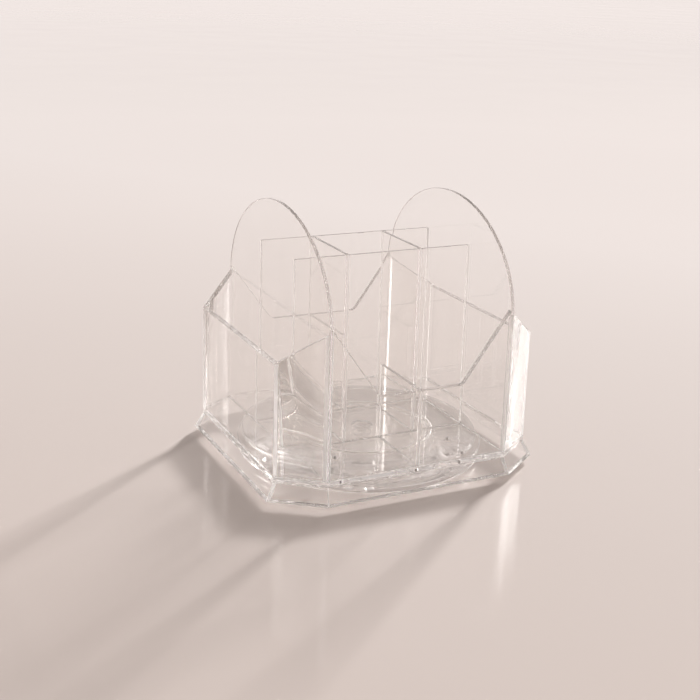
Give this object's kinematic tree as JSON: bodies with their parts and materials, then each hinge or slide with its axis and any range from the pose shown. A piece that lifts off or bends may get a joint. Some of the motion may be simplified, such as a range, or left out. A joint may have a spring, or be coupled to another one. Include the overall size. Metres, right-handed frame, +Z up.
{
  "type": "rotating desk organizer",
  "caption": "Clear octagonal desk organizer with arched side panels, open compartments and dividers, turning on a ball-bearing turntable.",
  "frame": {"origin": "centre of the turntable on the surface that it stands on", "axes": "+Z up along the turntable's axis; -Y towards the front bay; +X towards the right side bay, along the longest side"},
  "size_m": [0.2554, 0.2368, 0.2323],
  "materials": {
    "clear_acrylic": "clear colourless cast acrylic sheet with polished faces and edges",
    "turntable_acrylic": "clear moulded acrylic, glossy",
    "glass_balls": "clear glass bearing balls",
    "clear_nylon": "clear nylon, fine satin",
    "screw_steel": "darkened steel screws",
    "clear_silicone": "translucent soft silicone pads"
  },
  "bodies": {
    "base": {"turntable_base_disc": "turntable_acrylic", "rubber_foot_1": "clear_silicone", "rubber_foot_2": "clear_silicone", "rubber_foot_3": "clear_silicone", "rubber_foot_4": "clear_silicone", "pivot_pin": "clear_nylon", "pivot_retaining_ring": "clear_nylon"},
    "organizer": {"floor_plate": "clear_acrylic", "front_wall": "clear_acrylic", "back_wall": "clear_acrylic", "left_wall": "clear_acrylic", "right_wall": "clear_acrylic", "front_left_corner_wall": "clear_acrylic", "front_right_corner_wall": "clear_acrylic", "back_left_corner_wall": "clear_acrylic", "back_right_corner_wall": "clear_acrylic", "left_arch_panel": "clear_acrylic", "right_arch_panel": "clear_acrylic", "front_tall_panel": "clear_acrylic", "back_tall_panel": "clear_acrylic", "left_cross_divider": "clear_acrylic", "right_cross_divider": "clear_acrylic", "front_low_divider": "clear_acrylic", "back_low_divider": "clear_acrylic", "front_skirt": "clear_acrylic", "front_right_skirt": "clear_acrylic", "right_skirt": "clear_acrylic", "back_right_skirt": "clear_acrylic", "back_skirt": "clear_acrylic", "back_left_skirt": "clear_acrylic", "left_skirt": "clear_acrylic", "front_left_skirt": "clear_acrylic", "turntable_top_disc": "turntable_acrylic", "turntable_screw_1": "screw_steel", "turntable_screw_2": "screw_steel", "turntable_screw_3": "screw_steel", "turntable_screw_4": "screw_steel", "pivot_bush": "clear_nylon"},
    "ball_ring": {"ball_cage": "clear_nylon", "ball_01": "glass_balls", "ball_02": "glass_balls", "ball_03": "glass_balls", "ball_04": "glass_balls", "ball_05": "glass_balls", "ball_06": "glass_balls", "ball_07": "glass_balls", "ball_08": "glass_balls", "ball_09": "glass_balls", "ball_10": "glass_balls", "ball_11": "glass_balls", "ball_12": "glass_balls"}
  },
  "joints": [
    {"name": "turntable_spin", "type": "hinge", "parent": "base", "child": "organizer", "pos_m": [0, 0, 0.0158], "axis": [0, 0, 1], "continuous": true},
    {"name": "ball_ring_spin", "type": "hinge", "parent": "base", "child": "ball_ring", "pos_m": [0, 0, 0.0116], "axis": [0, 0, 1], "continuous": true}
  ],
  "couplings": [
    {"joint": "ball_ring_spin", "follows": "turntable_spin", "ratio": 0.5}
  ]
}
